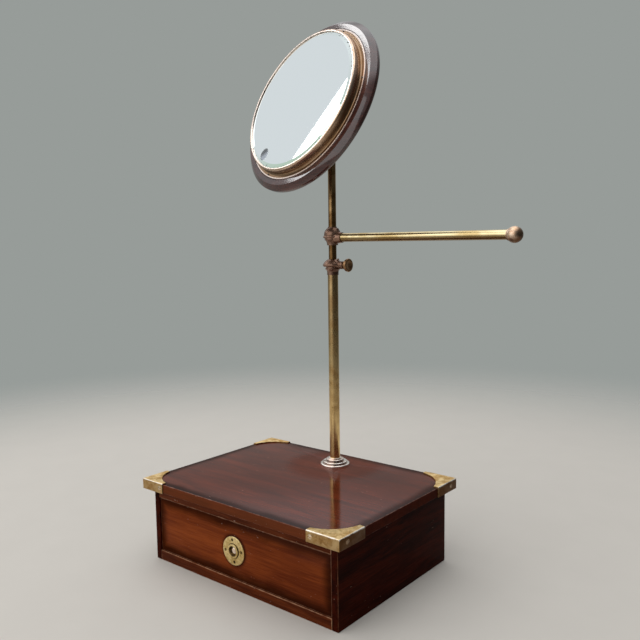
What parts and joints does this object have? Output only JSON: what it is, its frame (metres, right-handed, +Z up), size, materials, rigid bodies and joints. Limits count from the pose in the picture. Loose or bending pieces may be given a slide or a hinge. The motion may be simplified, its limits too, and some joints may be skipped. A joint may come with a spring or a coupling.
{
  "type": "vanity mirror",
  "caption": "Round tilting shaving mirror on a telescopic brass column with a swinging side arm, standing on a brass-cornered wooden case with a drawer.",
  "frame": {"origin": "centre of the case's underside, on the table", "axes": "+X to the right along the drawer front, +Y back into the depth, +Z up the column"},
  "size_m": [0.3889, 0.2232, 0.6273],
  "materials": {
    "case_mahogany": "waxed, nearly black with age",
    "rail_mahogany": "polished, worn at the edges",
    "top_mahogany": "old french polish, purple-brown",
    "drawer_mahogany": "french polished, orange-brown",
    "frame_mahogany": "turned and polished",
    "inner_wood": "bare planed wood",
    "cap_brass": "old lacquered brass, dulled",
    "tube_brass": "drawn and polished",
    "flange_brass": "turned, polished on the edges",
    "collar_brass": "turned, brown patina",
    "bezel_brass": "spun, pinkish patina",
    "plate_brass": "polished, yellow",
    "steel": "dull",
    "silvered_glass": "silvered plate glass with a bevelled edge"
  },
  "bodies": {
    "case": {"side_left": "case_mahogany", "side_right": "case_mahogany", "carcass_back": "case_mahogany", "bottom_board": "inner_wood", "bottom_rail": "rail_mahogany", "top_rail": "rail_mahogany", "runner_left": "inner_wood", "runner_right": "inner_wood", "kicker_left": "inner_wood", "kicker_right": "inner_wood", "drawer_stops": "inner_wood", "top_board": "top_mahogany", "top_screws": "steel", "cap_front_left": "cap_brass", "cap_front_right": "cap_brass", "cap_rear_left": "cap_brass", "cap_rear_right": "cap_brass", "cap_screws": "cap_brass", "column_flange": "flange_brass", "flange_screws": "collar_brass", "outer_tube": "tube_brass", "column_stud": "steel", "stud_washer": "steel", "stud_nut": "steel", "clamp_collar": "collar_brass", "guide_screw": "collar_brass"},
    "drawer": {"drawer_front": "drawer_mahogany", "drawer_side_left": "inner_wood", "drawer_side_right": "inner_wood", "drawer_back": "inner_wood", "drawer_bottom": "inner_wood", "knob_plate": "plate_brass", "plate_screws": "steel", "knob_barrel": "plate_brass", "barrel_nut": "plate_brass", "knob_spring": "steel"},
    "knob": {"push_knob": "plate_brass"},
    "clamp_screw": {"thumbscrew": "collar_brass"},
    "rod": {"inner_rod": "tube_brass", "arm_stop_ring": "steel"},
    "arm": {"arm_collar": "collar_brass", "arm_set_screw": "collar_brass", "arm_tube": "tube_brass", "arm_ball": "collar_brass"},
    "swivel": {"swivel_head": "collar_brass"},
    "mirror": {"pivot_plate": "collar_brass", "pivot_plate_screws": "collar_brass", "pivot_bolt": "steel", "tilt_nut": "tube_brass", "mirror_board": "frame_mahogany", "backing_board": "inner_wood", "mirror_glass": "silvered_glass", "bezel": "bezel_brass", "bezel_pins": "bezel_brass"}
  },
  "joints": [
    {"name": "drawer_slide", "type": "slide", "parent": "case", "child": "drawer", "axis": [0, -1, 0], "range_m": [0, 0.15]},
    {"name": "knob_out", "type": "slide", "parent": "drawer", "child": "knob", "axis": [0, -1, 0], "range_m": [0, 0.009]},
    {"name": "thumbscrew_turn", "type": "hinge", "parent": "case", "child": "clamp_screw", "pos_m": [0.017, 0.07, 0.3455], "axis": [1, 0, 0], "range_deg": [0, 360]},
    {"name": "rod_slide", "type": "slide", "parent": "case", "child": "rod", "axis": [0, 0, 1], "range_m": [-0.014, 0.16]},
    {"name": "arm_swing", "type": "hinge", "parent": "rod", "child": "arm", "pos_m": [0, 0.07, 0.3784], "axis": [0, 0, 1], "continuous": true},
    {"name": "mirror_swivel", "type": "hinge", "parent": "rod", "child": "swivel", "pos_m": [0, 0.07, 0.5155], "axis": [0, 0, 1], "continuous": true},
    {"name": "mirror_tilt", "type": "hinge", "parent": "swivel", "child": "mirror", "pos_m": [0, 0.07, 0.5155], "axis": [-0.9821, 0.1882, 0], "range_deg": [-34, 68]}
  ]
}
